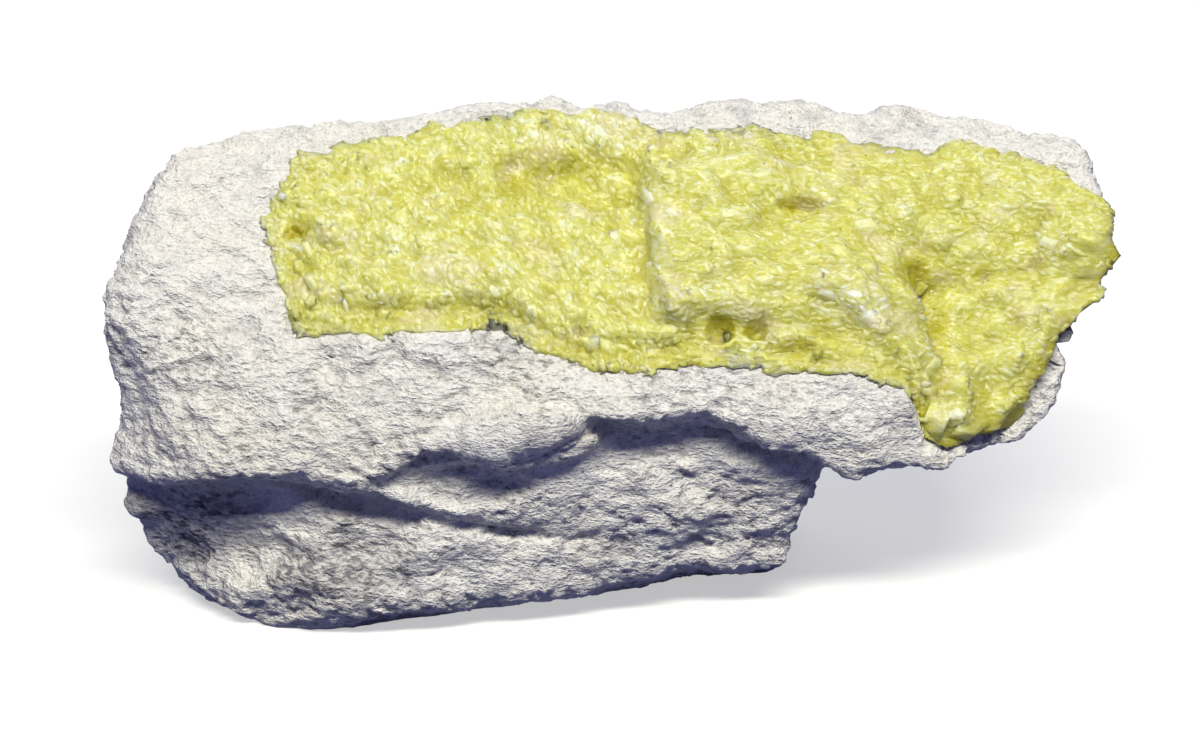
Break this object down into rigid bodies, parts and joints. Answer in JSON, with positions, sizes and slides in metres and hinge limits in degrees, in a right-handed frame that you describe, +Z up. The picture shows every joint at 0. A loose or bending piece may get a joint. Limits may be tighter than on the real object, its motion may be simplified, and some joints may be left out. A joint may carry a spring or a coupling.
{
  "type": "native sulfur crystal specimen",
  "caption": "Hand specimen of native sulfur: a yellow crust of intergrown crystals on the sloping face of a pale, chalky limestone block that stands on a flat broken base.",
  "frame": {"origin": "centre of the bounding box in plan, on the plane of the flat broken base", "axes": "+X along the block, towards the overhanging end; +Y away from the sulfur face; +Z up"},
  "size_m": [0.1006, 0.0396, 0.0467],
  "materials": {
    "limestone": "dull, chalky, fine-grained break",
    "sulfur": "glassy to resinous crystal faces, translucent lemon yellow"
  },
  "bodies": {
    "root": {"limestone_matrix": "limestone", "sulfur_crust": "sulfur"}
  },
  "joints": []
}
